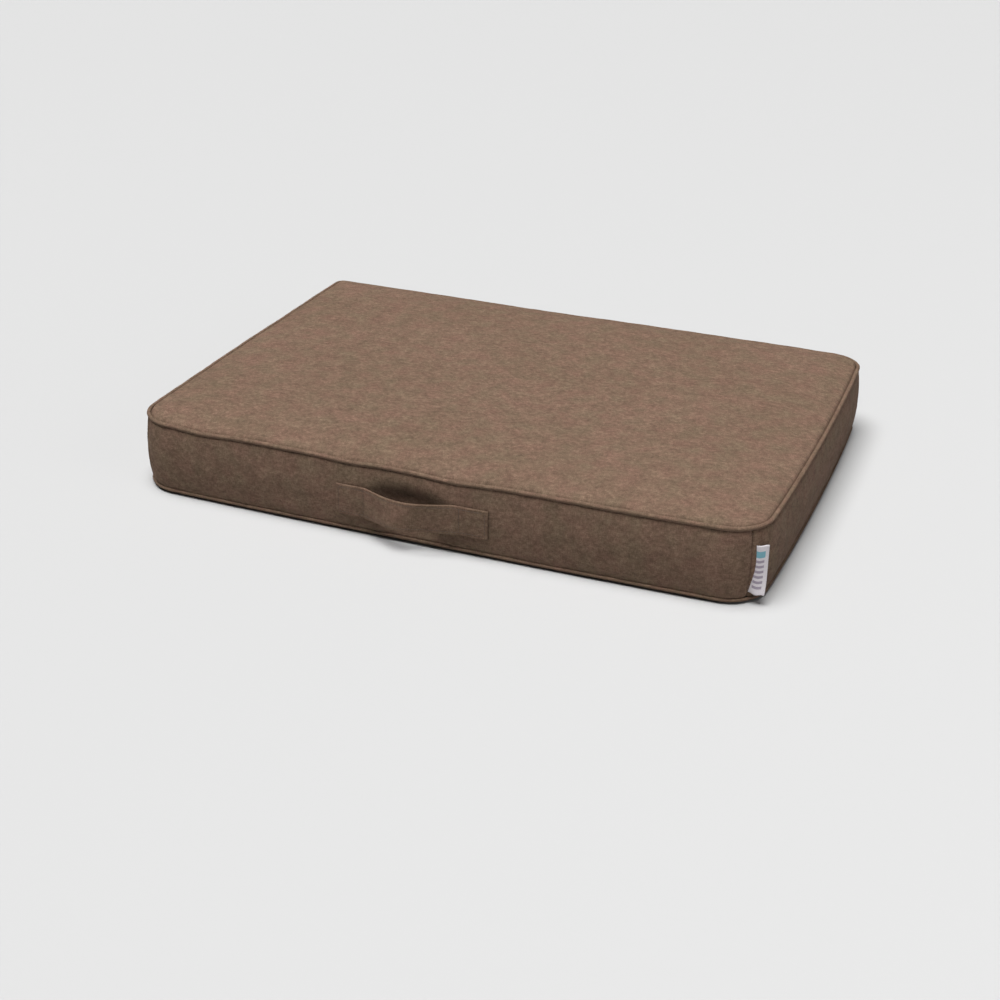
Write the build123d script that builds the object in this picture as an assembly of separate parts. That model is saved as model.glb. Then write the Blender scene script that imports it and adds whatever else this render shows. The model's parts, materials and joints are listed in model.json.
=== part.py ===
from build123d import *
import math
import os

# A flat box-shaped pet cushion: a two-layer foam block in a thin liner, inside a zipped
# cloth cover with piped edges, a strap handle on the front and a zip along the back.
# Units are millimetres.  +X runs along the front, the handle faces -Y, +Z is up, and the
# origin is the centre of the face that rests on the floor.

# ---- whole bed ----
BED_W = 700.0            # width over the side bands
BED_D = 500.0            # depth over the front and back bands
CORNER_R = 46.0          # plan radius of the upright corners
CLOTH = 1.0              # cover cloth
GAP = 0.1                # clearance between sewn neighbours
CUT_PAST = 1.0           # how far a cutting solid runs past what it cuts

# ---- piping round the top and bottom seams ----
WELT_R = 2.0             # outside radius of the piping
WELT_CORD_R = 1.1        # cord inside it
WELT_INSET = 0.8         # centre line inside the bands' outer face
WELT_LOW_Z = 3.4
WELT_HIGH_Z = 82.4
WELT_FLANGE = 9.0        # seam allowance of the piping, inside the cover
FLANGE_T = 0.8
FLANGE_INSET = 1.2
FLANGE_ROOT = 0.2        # how far the flange runs into the piping's tube

# ---- panels ----
TOP_Z = 83.6             # outer face of the top panel
PANEL_INSET = WELT_INSET + WELT_R + GAP
PANEL_SKIRT = 11.0       # panel edge turned down (or up) inside the piping
PANEL_CHAMFER = 0.6

# ---- foam core and its liner ----
LINER_T = 0.5
LINER_CLEAR = 0.2        # between the liner and the cover
LINER_INSET = PANEL_INSET + CLOTH + LINER_CLEAR
LINER_LOW_Z = CLOTH + LINER_CLEAR
LINER_HIGH_Z = TOP_Z - CLOTH - LINER_CLEAR
CORE_CLEAR = 0.1
SUPPORT_SHARE = 5 / 8    # support foam's share of the foam height

# ---- strap handle, box-stitched to the front band ----
HANDLE_X = -14.0         # centre of the strap
STRAP_W = 35.0
STRAP_T = 2.4
STRAP_TOP_Z = 57.0
STRAP_SEWN = 34.0        # length stitched down at each end
STRAP_FREE = 104.0       # free span between the stitched ends
STRAP_BULGE = 17.0       # how far the free span's outer face stands off the band
STRAP_RISE = 24.0        # run over which it leaves the band
STRAP_BEND_R = 20.0
GRIP_HALF = 24.0         # half length of the middle that swings up and down
BODY_GAP = 0.3           # between parts that move against each other

# ---- woven label in the front right corner seam ----
LABEL_LOW_Z = 12.0
LABEL_H = 52.0
LABEL_L = 19.0           # how far it stands out of the seam
LABEL_T = 0.9            # tape folded double
LABEL_FOLD_R = 0.36      # rounding of its folded edge
LABEL_STANDOFF = 1.0
LABEL_ANGLE = 10.0       # direction it points, from +X towards +Y

# ---- zip along the middle of the back ----
ZIP_Z = 42.0
ZIP_LENGTH = 570.0       # between the outer ends of the stops
ZIP_WINDOW = 592.0       # opening in the back band
ZIP_WINDOW_H = 14.0
TAPE_T = 0.6
TAPE_H = 14.0
TAPE_LENGTH = 600.0
COIL_T = 2.1
COIL_H = 2.2             # height of one row of teeth
COIL_SLOT = 0.8          # half the channel left for the slider's post
STOP_L = 3.0
STOP_H = 6.8
STOP_T = 2.2
STOP_EDGE_R = 0.6
TAB_L = 18.0
TAB_H = 22.0
TAB_CLEAR = 0.5          # between an end stop and the tab beyond it

# ---- zip slider and pull ----
SLIDER_L = 12.0
SLIDER_HALF_H = 4.6
PLATE_T = 1.0
PLATE_CORNER_R = 2.4
RAIL_H = 1.0
TAPE_CLEAR = 0.5         # between the slider and the tapes
POST_HALF = 0.5
POST_L = 3.0
SLIDER_START = 1.0       # between the closed slider and the end stop
SLIDER_X = -ZIP_LENGTH / 2 + STOP_L + SLIDER_START + SLIDER_L / 2
BRIDGE_HALF_L = 4.0
BRIDGE_T = 1.3
BRIDGE_W = 1.4
BRIDGE_CLEAR = 3.0
BRIDGE_CORNER_R = 1.17
PULL_AXIS_UP = 1.8       # hinge line above the slider's face plate
PULL_BAR_R = 0.7
PULL_ARM_IN = 1.6        # half the opening between the pull's arms
PULL_BAR_ROOT = 0.2      # how far the cross bar runs into each arm
PULL_W = 6.4
PULL_T = 1.2
PULL_EYE_L = 5.4
PULL_L = 25.0
PULL_CORNER_R = 2.2
DIMPLE_FROM = 12.5       # thumb dimple pressed into the pull, measured from the hinge line
DIMPLE_TO = 20.5
DIMPLE_HALF = 1.8
DIMPLE_DEPTH = 0.3

HALF_W = BED_W / 2
HALF_D = BED_D / 2
ARC_X = HALF_W - CORNER_R          # plan centres of the corner arcs
ARC_Y = HALF_D - CORNER_R


def plate(inset, low, high):
    """Rounded rectangle of the bed's outline, moved in by inset, between two heights."""
    outline = RectangleRounded(BED_W - 2 * inset, BED_D - 2 * inset, CORNER_R - inset)
    return Pos(0, 0, low) * extrude(outline, high - low)


def ring(outer, inner, low, high):
    """Upright wall that follows the outline between two insets."""
    return plate(outer, low, high) - plate(inner, low - CUT_PAST, high + CUT_PAST)


def block(x, y, z):
    """Box from (low, high) pairs along X, Y and Z."""
    size = [high - low for low, high in (x, y, z)]
    middle = [(high + low) / 2 for low, high in (x, y, z)]
    return Pos(*middle) * Box(*size)


def outline_path(inset, z):
    """Closed wire that follows the outline at one height."""
    outline = RectangleRounded(BED_W - 2 * inset, BED_D - 2 * inset, CORNER_R - inset)
    return Pos(0, 0, z) * outline.wire()


def round_bar(inset, z, radius):
    """Round bar bent along the whole outline."""
    path = outline_path(inset, z)
    start = Plane(origin=path @ 0, z_dir=path % 0)
    return sweep(start * Circle(radius), path)


def sector(side):
    """Tall prism over one side's share of the bands, cut at 45 degrees through the corners."""
    reach = 100.0
    below, tall = 10.0, 120.0
    if side in ("front", "back"):
        sign = -1 if side == "front" else 1
        inner, outer = sign * ARC_Y, sign * (ARC_Y + reach)
        points = [(-ARC_X, inner), (-ARC_X - reach, outer), (ARC_X + reach, outer), (ARC_X, inner)]
    else:
        sign = -1 if side == "left" else 1
        inner, outer = sign * ARC_X, sign * (ARC_X + reach)
        points = [(inner, -ARC_Y), (outer, -ARC_Y - reach), (outer, ARC_Y + reach), (inner, ARC_Y)]
    return Pos(0, 0, -below) * extrude(make_face(Polyline(*points, close=True)), tall)


def bands():
    """Boxing strips: three plain sides, and a back in two strips round the zip window."""
    low = WELT_LOW_Z + WELT_R + GAP
    high = WELT_HIGH_Z - WELT_R - GAP
    wall = ring(0, CLOTH, low, high)
    parts = {f"{side}_band": wall & sector(side) for side in ("front", "left", "right")}
    back = wall & sector("back")
    half = ZIP_WINDOW / 2
    back -= block(
        (-half, half), (ARC_Y, BED_D), (ZIP_Z - ZIP_WINDOW_H / 2, ZIP_Z + ZIP_WINDOW_H / 2)
    )
    parts["back_band_upper"] = back & block((-BED_W, BED_W), (0, BED_D), (ZIP_Z, TOP_Z))
    parts["back_band_lower"] = back & block((-BED_W, BED_W), (0, BED_D), (0, ZIP_Z))
    return parts


def panels():
    """Top and bottom cloths, their edges turned inside as seam allowance."""
    hollow = PANEL_INSET + CLOTH
    top = plate(PANEL_INSET, TOP_Z - PANEL_SKIRT, TOP_Z)
    top -= plate(hollow, 0, TOP_Z - CLOTH)
    top = chamfer(top.faces().sort_by(Axis.Z)[-1].outer_wire().edges(), PANEL_CHAMFER)
    bottom = plate(PANEL_INSET, 0, PANEL_SKIRT)
    bottom = chamfer(bottom.faces().sort_by(Axis.Z)[0].outer_wire().edges(), PANEL_CHAMFER)
    bottom -= plate(hollow, CLOTH, TOP_Z)
    return {"top_panel": top, "bottom_panel": bottom}


def welts():
    """Piping: a cloth tube with its sewn flange inside the cover, and the cord it holds."""
    parts = {}
    for name, z, inward in (("top", WELT_HIGH_Z, -1), ("bottom", WELT_LOW_Z, 1)):
        near = z + inward * (WELT_R - FLANGE_ROOT)
        far = z + inward * (WELT_R + WELT_FLANGE)
        flange = ring(FLANGE_INSET, FLANGE_INSET + FLANGE_T, min(near, far), max(near, far))
        tube = round_bar(WELT_INSET, z, WELT_R) + flange
        parts[f"{name}_welt_cover"] = tube - round_bar(WELT_INSET, z, WELT_CORD_R + GAP)
        parts[f"{name}_welt_cord"] = round_bar(WELT_INSET, z, WELT_CORD_R)
    return parts


def core():
    """Foam block in two layers, and the liner bag sewn round it."""
    foam_inset = LINER_INSET + LINER_T + CORE_CLEAR
    low = LINER_LOW_Z + LINER_T + CORE_CLEAR
    high = LINER_HIGH_Z - LINER_T - CORE_CLEAR
    joint = low + SUPPORT_SHARE * (high - low)
    shell = plate(LINER_INSET, LINER_LOW_Z, LINER_HIGH_Z)
    shell -= plate(LINER_INSET + LINER_T, LINER_LOW_Z + LINER_T, LINER_HIGH_Z - LINER_T)
    return {
        "inner_liner": shell,
        "support_foam": plate(foam_inset, low, joint),
        "memory_foam": plate(foam_inset, joint + CORE_CLEAR, high),
    }


def strap():
    """Whole strap: flat on the band at both ends, standing off it in the middle."""
    free = STRAP_FREE / 2
    sewn = free + STRAP_SEWN
    rise = STRAP_BULGE - STRAP_T
    profile = [
        (-sewn, 0),
        (-free, 0),
        (-free + STRAP_RISE, rise),
        (free - STRAP_RISE, rise),
        (free, 0),
        (sewn, 0),
    ]
    middle_y = -HALF_D - STRAP_T / 2
    line = FilletPolyline(*[(HANDLE_X + x, middle_y - out) for x, out in profile], radius=STRAP_BEND_R)
    return Pos(0, 0, STRAP_TOP_Z - STRAP_W) * extrude(trace(line, line_width=STRAP_T), STRAP_W)


def handle():
    """The strap, cut where its free middle bends away from the stitched-down ends."""
    whole = strap()
    depth = (-BED_D, 0)
    height = (0, TOP_Z)
    cuts = {
        "handle_end_left": (-BED_W, HANDLE_X - GRIP_HALF - BODY_GAP),
        "handle_grip": (HANDLE_X - GRIP_HALF, HANDLE_X + GRIP_HALF),
        "handle_end_right": (HANDLE_X + GRIP_HALF + BODY_GAP, BED_W),
    }
    return {name: whole & block(x, depth, height) for name, x in cuts.items()}


def label_seam():
    """Line on the front right corner, just proud of the cloth, that the label turns about."""
    reach = (CORNER_R + LABEL_STANDOFF) * math.sqrt(0.5)
    return ARC_X + reach, -ARC_Y - reach


def label():
    """Folded tape that stands out of the corner seam."""
    x, y = label_seam()
    tape = Pos(LABEL_L / 2, 0, LABEL_H / 2) * Box(LABEL_L, LABEL_T, LABEL_H)
    tape = fillet(tape.faces().sort_by(Axis.X)[-1].edges().filter_by(Axis.Z), LABEL_FOLD_R)
    return {"woven_label": Pos(x, y, LABEL_LOW_Z) * Rot(0, 0, LABEL_ANGLE) * tape}


def zip_chain():
    """Tapes, rows of teeth, end stops and the cloth tabs over the zip's ends."""
    inner = HALF_D - CLOTH - GAP
    tape_y = (inner - TAPE_T, inner)
    coil_y = (inner, inner + COIL_T)
    half_tape = TAPE_LENGTH / 2
    half_coil = ZIP_LENGTH / 2 - STOP_L - GAP
    parts = {}
    for name, side in (("upper", 1), ("lower", -1)):
        tape_z = sorted((ZIP_Z + side * COIL_SLOT, ZIP_Z + side * (COIL_SLOT + TAPE_H)))
        coil_z = sorted((ZIP_Z + side * COIL_SLOT, ZIP_Z + side * (COIL_SLOT + COIL_H)))
        parts[f"zip_tape_{name}"] = block((-half_tape, half_tape), tape_y, tape_z)
        parts[f"zip_coil_{name}"] = block((-half_coil, half_coil), coil_y, coil_z)
    stop = Box(STOP_L, STOP_T, STOP_H)
    stop = fillet(stop.faces().sort_by(Axis.Y)[-1].edges(), STOP_EDGE_R)
    stop_at = ZIP_LENGTH / 2 - STOP_L / 2
    stops = [Pos(x, inner + STOP_T / 2, ZIP_Z) * stop for x in (-stop_at, stop_at)]
    parts["zip_end_stops"] = Compound(children=stops)
    tab_at = ZIP_LENGTH / 2 + TAB_CLEAR + TAB_L / 2
    tab = Box(TAB_L, CLOTH, TAB_H)
    tabs = [Pos(x, HALF_D + CLOTH / 2, ZIP_Z) * tab for x in (-tab_at, tab_at)]
    parts["zip_end_tabs"] = Compound(children=tabs)
    return parts


def face_plate_y():
    """Low and high Y of the slider's outer plate, clear of the teeth."""
    low = HALF_D - CLOTH - GAP + COIL_T + BODY_GAP
    return low, low + PLATE_T


def slider_plate(low, high):
    """Rounded plate of the slider between two Y positions."""
    outline = RectangleRounded(SLIDER_L, 2 * SLIDER_HALF_H, PLATE_CORNER_R)
    return Pos(SLIDER_X, high, ZIP_Z) * Rot(90, 0, 0) * extrude(outline, high - low)


def slider():
    """Slider: outer and inner plates with side rails, joined by a post between the teeth."""
    left = SLIDER_X - SLIDER_L / 2
    front = face_plate_y()
    tape_back = HALF_D - CLOTH - GAP - TAPE_T
    back = (tape_back - TAPE_CLEAR - PLATE_T, tape_back - TAPE_CLEAR)
    post_z = (ZIP_Z - POST_HALF, ZIP_Z + POST_HALF)
    body = slider_plate(*front) + slider_plate(*back)
    body += block((left, left + POST_L), (back[0], front[1]), post_z)
    rail_x = (left + PLATE_CORNER_R, left + SLIDER_L - PLATE_CORNER_R)
    for side in (-1, 1):
        rail_z = sorted((ZIP_Z + side * SLIDER_HALF_H, ZIP_Z + side * (SLIDER_HALF_H - RAIL_H)))
        body += block(rail_x, (front[0] - COIL_T + TAPE_CLEAR, front[1]), rail_z)
    bridge_z = (ZIP_Z - BRIDGE_W / 2, ZIP_Z + BRIDGE_W / 2)
    bridge_x = (SLIDER_X - BRIDGE_HALF_L, SLIDER_X + BRIDGE_HALF_L)
    bridge = block(bridge_x, (front[1], front[1] + BRIDGE_CLEAR + BRIDGE_T), bridge_z)
    bridge = fillet(bridge.edges().filter_by(Axis.Z).sort_by(Axis.Y)[-2:], BRIDGE_CORNER_R)
    eye_x = (bridge_x[0] + BRIDGE_T, bridge_x[1] - BRIDGE_T)
    bridge -= block(eye_x, (front[1], front[1] + BRIDGE_CLEAR), bridge_z)
    return {"zip_slider": body + bridge}


def pull():
    """Pull: a flat tag whose cross bar sits under the slider's bridge."""
    axis_y = face_plate_y()[1] + PULL_AXIS_UP
    arm = (axis_y - PULL_T / 2, axis_y + PULL_T / 2)
    tag = Pos(PULL_L / 2, 0, 0) * Box(PULL_L, PULL_T, PULL_W)
    tag = fillet(tag.edges().filter_by(Axis.Y), PULL_CORNER_R)
    tag = Pos(SLIDER_X - PULL_BAR_R, axis_y, ZIP_Z) * tag
    window_z = (ZIP_Z - PULL_ARM_IN, ZIP_Z + PULL_ARM_IN)
    tag -= block((SLIDER_X - PULL_L, SLIDER_X + PULL_EYE_L), (arm[0] - CUT_PAST, arm[1] + CUT_PAST), window_z)
    bar = Pos(SLIDER_X, axis_y, ZIP_Z) * Cylinder(PULL_BAR_R, 2 * (PULL_ARM_IN + PULL_BAR_ROOT))
    dimple_x = (SLIDER_X + DIMPLE_FROM, SLIDER_X + DIMPLE_TO)
    dimple_z = (ZIP_Z - DIMPLE_HALF, ZIP_Z + DIMPLE_HALF)
    dimple = block(dimple_x, (arm[1] - DIMPLE_DEPTH, arm[1] + CUT_PAST), dimple_z)
    return {"zip_pull": tag + bar - dimple}


def main():
    os.makedirs("parts", exist_ok=True)
    for group in (panels(), bands(), welts(), core(), handle(), label(), zip_chain(), slider(), pull()):
        for name, shape in group.items():
            export_step(shape, f"parts/{name}.step")


main()
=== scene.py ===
import json
import math

import bpy
import numpy as np
from mathutils import Matrix, Vector, noise
from mathutils.bvhtree import BVHTree


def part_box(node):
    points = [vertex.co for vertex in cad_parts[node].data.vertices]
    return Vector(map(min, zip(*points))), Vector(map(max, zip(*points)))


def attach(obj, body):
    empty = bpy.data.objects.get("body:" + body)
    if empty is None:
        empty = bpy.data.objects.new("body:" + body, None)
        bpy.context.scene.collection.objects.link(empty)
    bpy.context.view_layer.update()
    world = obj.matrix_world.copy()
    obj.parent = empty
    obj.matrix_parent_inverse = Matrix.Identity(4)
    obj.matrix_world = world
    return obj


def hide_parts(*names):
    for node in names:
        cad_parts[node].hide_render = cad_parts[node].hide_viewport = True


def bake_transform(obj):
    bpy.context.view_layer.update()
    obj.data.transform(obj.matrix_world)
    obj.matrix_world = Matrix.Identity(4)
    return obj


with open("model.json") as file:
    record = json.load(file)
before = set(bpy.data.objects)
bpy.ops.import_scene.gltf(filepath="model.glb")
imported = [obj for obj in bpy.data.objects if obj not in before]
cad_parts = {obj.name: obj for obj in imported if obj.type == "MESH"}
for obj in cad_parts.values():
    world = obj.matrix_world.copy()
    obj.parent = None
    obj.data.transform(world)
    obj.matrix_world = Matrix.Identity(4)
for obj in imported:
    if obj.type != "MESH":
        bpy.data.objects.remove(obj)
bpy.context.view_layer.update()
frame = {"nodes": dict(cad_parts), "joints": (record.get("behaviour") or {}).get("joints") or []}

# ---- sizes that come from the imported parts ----
HALF_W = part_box("right_band")[1].x
HALF_D = -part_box("front_band")[0].y
CORNER_DROP = 1 - math.sqrt(0.5)
CAD_CORNER_R = (HALF_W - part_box("front_band")[1].x) / CORNER_DROP
WELT_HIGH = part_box("top_welt_cover")[1]
CORD_LOW, CORD_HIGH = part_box("top_welt_cord")
CORD_R = (CORD_HIGH.z - CORD_LOW.z) / 2
TOP_SEAM_Z = (CORD_HIGH.z + CORD_LOW.z) / 2
WELT_R = (WELT_HIGH.z - TOP_SEAM_Z) * 1.15  # the top piping is a little plumper than its solid
WELT_INSET = HALF_W - (CORD_HIGH.x - CORD_R)
BOTTOM_SEAM_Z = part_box("bottom_welt_cord")[0].z + CORD_R + 0.0012  # the soft base edge lifts it
ZIP_Z = (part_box("zip_coil_upper")[1].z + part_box("zip_coil_lower")[0].z) / 2
ZIP_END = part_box("zip_end_stops")[1].x
STRAP_LOW_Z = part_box("handle_grip")[0].z
STRAP_HIGH_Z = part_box("handle_grip")[1].z
STRAP_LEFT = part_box("handle_end_left")[0].x
STRAP_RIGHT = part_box("handle_end_right")[1].x

# ---- shape of the soft cover ----
CLOTH = 0.001
CORNER_R = {
    "front_left": 0.043,
    "front_right": 0.039,
    "back_right": 0.034,
    "back_left": 0.011,
}
BOW_FRONT = 0.0050  # the soft sides bow outwards between their corners
BOW_RIGHT = 0.0065
BOW_LEFT = 0.0015
BOW_REACH = 0.12
# dips in the top front seam: place along, depth, half length
SEAM_DIPS = ((-0.262, 0.0024, 0.030), (-0.085, 0.0014, 0.022), (0.030, 0.0026, 0.040))
# folds in the front band: place along, height, half length, half width, depth
CREASES = ((0.300, 0.0762, 0.020, 0.0017, 0.0012), (0.307, 0.0712, 0.015, 0.0016, 0.0009))
PANEL_INSET = WELT_INSET + 0.0021  # where a panel dives beside the piping
EDGE_RISE = 0.0052  # pillow edge of the top panel over its first few millimetres
EDGE_RUN = 0.0021
PANEL_START = -0.0008  # the panel's edge lies this far under its seam
CROWN = 0.0035
CROWN_RUN = 0.060
BAND_BULGE = 0.0034
BAND_TUCK = 0.0020  # bands dive this far beside the piping and corner seams
TUCK_RUN = 0.0022
BAND_EDGE = 0.0012  # bands start this far inside their seam lines
LOW_SWAY = 0.4  # the bottom seam sways this share of what the top one may
LOW_WELT = 0.8  # bottom piping, as a share of the top one's radius
BACK_BULGE = 0.0012
LIP_GAP = 0.0068  # half the opening between the folded edges over the zip
LIP_TUCK = 0.0007
TAB_RIDGE = 0.0004  # the end tabs rise this much over the zip
BASE_LIFT = 0.0006  # base cloth rests on its dots
BORDER = (0.0, 0.0007, 0.0016, 0.0028, 0.0045, 0.0070, 0.0105)
CELL = 0.0068  # cloth mesh spacing before it is subdivided
BAND_CELL = 0.0050
SEED = 7.3
TOP_SEED = 1.0
BOTTOM_SEED = 2.0

# ---- strap handle ----
STRAP_T = 0.0024
STRAP_SEWN = 0.034
FREE_LEFT = STRAP_LEFT + STRAP_SEWN
FREE_RIGHT = STRAP_RIGHT - STRAP_SEWN
STRAP_TOP_OUT = 0.0128  # how far the upper edge bulges, and where that bulge ends
STRAP_TOP_END = 0.034
STRAP_LOW_OUT = 0.0080  # the lower edge's long bulge, and one left of its middle
STRAP_LOW_PEAK = 0.0100
STRAP_ROLL = 0.0020  # the lower edge rolls up a little past the left end
HOLLOWS = (  # place along, height, half length, half height, depth
    ((FREE_LEFT + FREE_RIGHT) / 2 - 0.006, STRAP_HIGH_Z - 0.011, 0.050, 0.023, 0.0066),
    ((FREE_LEFT + FREE_RIGHT) / 2 + 0.008, STRAP_LOW_Z - 0.001, 0.056, 0.016, 0.0080),
)
DENT_REACHES_CORE = 0.0042  # a hollow deeper than this presses into liner and foam too

# ---- stitching ----
THREAD_R = 0.00028
STITCH = 0.0032
STITCH_GAP = 0.0007
STITCH_INSET = 0.0035  # from the strap's edges to its stitching
TAB_CLEAR = 0.0005  # from an end stop to the cloth tab beyond it

# ---- camera, at the photograph's viewing angle ----
CAMERA_AT = (0.6371, -1.6707, 0.8225)
CAMERA_YAW = math.radians(21.38)
CAMERA_PITCH = math.radians(26.32)
CAMERA_ROLL = math.radians(0.85)
LENS = 60.65
SENSOR = 36.0

# ---- light and floor ----
KEY_FROM = (-0.10, -0.15, 1.0)
FILL_AT, FILL_AIM = (2.4, -0.9, 1.3), (0.2, 0, 0.05)
FILL_SIZE, FILL_POWER = 1.6, 9
FLOOR_REACH = 40
KEY_STRENGTH = 5.6
KEY_ANGLE = math.radians(40)
FLOOR_COLOUR = (0.425, 0.425, 0.425)
HORIZON_COLOUR = (0.62, 0.62, 0.62)
ZENITH_COLOUR = (0.05, 0.05, 0.05)


# ============================================================ small helpers
def wobble(x, y, z, size, seed=0.0):
    """Smooth repeatable noise from about -1 to 1 with features of one size."""
    return noise.noise(Vector((x / size + seed, y / size - seed, z / size + SEED)))


def wobbles(points, size, seed=0.0):
    flat = np.asarray(points, float).reshape(-1, 3)
    values = [wobble(*p, size, seed) for p in flat]
    return np.array(values).reshape(np.shape(points)[:-1])


def grid_faces(rows, columns, wrap=False, flip=False):
    """Quads of a grid whose points run row by row; wrap joins the last column to the first."""
    faces = []
    for i in range(rows - 1):
        for j in range(columns if wrap else columns - 1):
            k = (j + 1) % columns
            quad = (i * columns + j, i * columns + k, (i + 1) * columns + k, (i + 1) * columns + j)
            faces.append(quad[::-1] if flip else quad)
    return faces


def piece(name, points, faces, uv=None, material=None):
    """Mesh object with smooth faces and, if given, flat cloth coordinates in metres."""
    mesh = bpy.data.meshes.new(name)
    mesh.from_pydata(np.asarray(points, float).reshape(-1, 3).tolist(), [], faces)
    mesh.polygons.foreach_set("use_smooth", [True] * len(mesh.polygons))
    if uv is not None:
        layer = mesh.uv_layers.new(name="cloth")
        loops = np.zeros(len(mesh.loops), np.int32)
        mesh.loops.foreach_get("vertex_index", loops)
        layer.data.foreach_set("uv", np.asarray(uv, np.float32).reshape(-1, 2)[loops].ravel())
    mesh.validate()
    made = bpy.data.objects.new(name, mesh)
    bpy.context.scene.collection.objects.link(made)
    if material is not None:
        mesh.materials.append(material)
    return made


def apply_modifiers(made):
    """Bakes the object's modifiers into its mesh."""
    graph = bpy.context.evaluated_depsgraph_get()
    mesh = bpy.data.meshes.new_from_object(made.evaluated_get(graph), depsgraph=graph)
    made.modifiers.clear()
    old = made.data
    made.data = mesh
    bpy.data.meshes.remove(old)
    return made


def thicken(made, thickness, levels=1):
    """Smooths a cloth sheet and gives it thickness on its inner side."""
    if levels:
        made.modifiers.new("smooth", "SUBSURF").levels = levels
        made.modifiers["smooth"].render_levels = levels
        made.modifiers["smooth"].uv_smooth = "PRESERVE_BOUNDARIES"
    solid = made.modifiers.new("thickness", "SOLIDIFY")
    solid.thickness = thickness
    solid.offset = -1
    return apply_modifiers(made)


def lengths_along(path):
    """Length run up to each point of a path."""
    return np.concatenate([[0], np.cumsum(np.linalg.norm(np.diff(path, axis=0), axis=1))])


def points_at(path, run, at):
    """Points at given lengths along a path."""
    return np.stack([np.interp(at, run, path[:, k]) for k in range(path.shape[1])], 1)


def end_caps(rows, sides):
    """Faces that close both ends of a tube built ring by ring."""
    last = (rows - 1) * sides
    return [tuple(range(sides))[::-1], tuple(last + k for k in range(sides))]


def frames(path, closed):
    """Side and up vectors that don't twist along a path."""
    ahead = np.roll(path, -1, 0) - np.roll(path, 1, 0)
    if not closed:
        ahead[0] = path[1] - path[0]
        ahead[-1] = path[-1] - path[-2]
    tangent = ahead / np.linalg.norm(ahead, axis=1)[:, None]
    up = np.array([0.0, 0.0, 1.0])
    if abs(tangent[0] @ up) > 0.9:
        up = np.array([0.0, 1.0, 0.0])
    ups = []
    for t in tangent:
        up = up - (up @ t) * t
        up = up / np.linalg.norm(up)
        ups.append(up)
    ups = np.array(ups)
    return np.cross(tangent, ups), ups


def tube(path, radius, sides=8, closed=False):
    """Points, faces and cloth coordinates of a round tube; an open one gets closed ends."""
    path = np.asarray(path, float)
    side, up = frames(path, closed)
    angle = np.linspace(0, 2 * math.pi, sides, endpoint=False)
    radius = np.broadcast_to(radius, len(path))
    ring = side[:, None] * np.cos(angle)[None, :, None] + up[:, None] * np.sin(angle)[None, :, None]
    points = path[:, None] + ring * radius[:, None, None]
    rows = len(path)
    faces = grid_faces(rows, sides, wrap=True, flip=True)
    if closed:
        last = (rows - 1) * sides
        faces += [
            (j, (j + 1) % sides, last + (j + 1) % sides, last + j) for j in range(sides)
        ]
    else:
        faces += [cap[::-1] for cap in end_caps(rows, sides)]
    run = lengths_along(path)
    uv = np.stack(np.broadcast_arrays(run[:, None], (angle * radius.mean())[None, :]), -1)
    return points.reshape(-1, 3), faces, uv.reshape(-1, 2)


def tube_piece(name, path, radius, sides=8, closed=False, material=None):
    points, faces, uv = tube(path, radius, sides, closed)
    return piece(name, points, faces, uv, material)


def merged(name, parts, material=None):
    """One mesh from several (points, faces, uv) lumps."""
    points, faces, uvs, offset = [], [], [], 0
    for p, f, uv in parts:
        points.append(p)
        uvs.append(uv)
        faces += [tuple(i + offset for i in face) for face in f]
        offset += len(p)
    return piece(name, np.concatenate(points), faces, np.concatenate(uvs), material)


def spaced(path, step):
    """Points an even step apart along a polyline."""
    path = np.asarray(path, float)
    run = lengths_along(path)
    count = max(2, int(round(run[-1] / step)) + 1)
    at = np.linspace(0, run[-1], count)
    return points_at(path, run, at)


def lines_between(low, high, cell, border=BORDER):
    """Grid lines from low to high: close together at both ends, evenly spaced between."""
    start = [low + b for b in border]
    end = [high - b for b in border[::-1]]
    count = max(1, int(round((end[0] - start[-1]) / cell)))
    middle = np.linspace(start[-1], end[0], count + 1)[1:-1]
    return np.array([*start, *middle, *end])


# ============================================================ materials
def new_material(name):
    made = bpy.data.materials.new(name)
    made.use_nodes = True
    return made, made.node_tree.nodes, made.node_tree.links, made.node_tree.nodes["Principled BSDF"]


def mapped_noise(nodes, links, coordinates, scale, size=1.0, detail=2.0, rough=0.55):
    """Noise texture over scaled coordinates; returns its value socket."""
    mapping = nodes.new("ShaderNodeMapping")
    mapping.inputs["Scale"].default_value = scale
    links.new(coordinates, mapping.inputs["Vector"])
    texture = nodes.new("ShaderNodeTexNoise")
    texture.inputs["Scale"].default_value = size
    texture.inputs["Detail"].default_value = detail
    texture.inputs["Roughness"].default_value = rough
    links.new(mapping.outputs["Vector"], texture.inputs["Vector"])
    return texture.outputs["Fac"]


def math_node(nodes, links, operation, first, second=None):
    node = nodes.new("ShaderNodeMath")
    node.operation = operation
    for socket, value in zip(node.inputs, (first, second)):
        if value is None:
            continue
        if isinstance(value, (int, float)):
            socket.default_value = value
        else:
            links.new(value, socket)
    return node.outputs["Value"]


def colour_ramp(nodes, links, value, stops):
    ramp = nodes.new("ShaderNodeValToRGB")
    while len(ramp.color_ramp.elements) < len(stops):
        ramp.color_ramp.elements.new(0.5)
    for element, (at, colour) in zip(ramp.color_ramp.elements, stops):
        element.position = at
        element.color = (*colour, 1)
    links.new(value, ramp.inputs["Fac"])
    return ramp.outputs["Color"]


def mix_colour(nodes, links, blend, amount, first, second):
    node = nodes.new("ShaderNodeMix")
    node.data_type = "RGBA"
    node.blend_type = blend
    for socket, value in ((node.inputs[0], amount), (node.inputs[6], first), (node.inputs[7], second)):
        if hasattr(value, "is_linked"):
            links.new(value, socket)
        else:
            socket.default_value = value
    return node.outputs[2]


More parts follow.
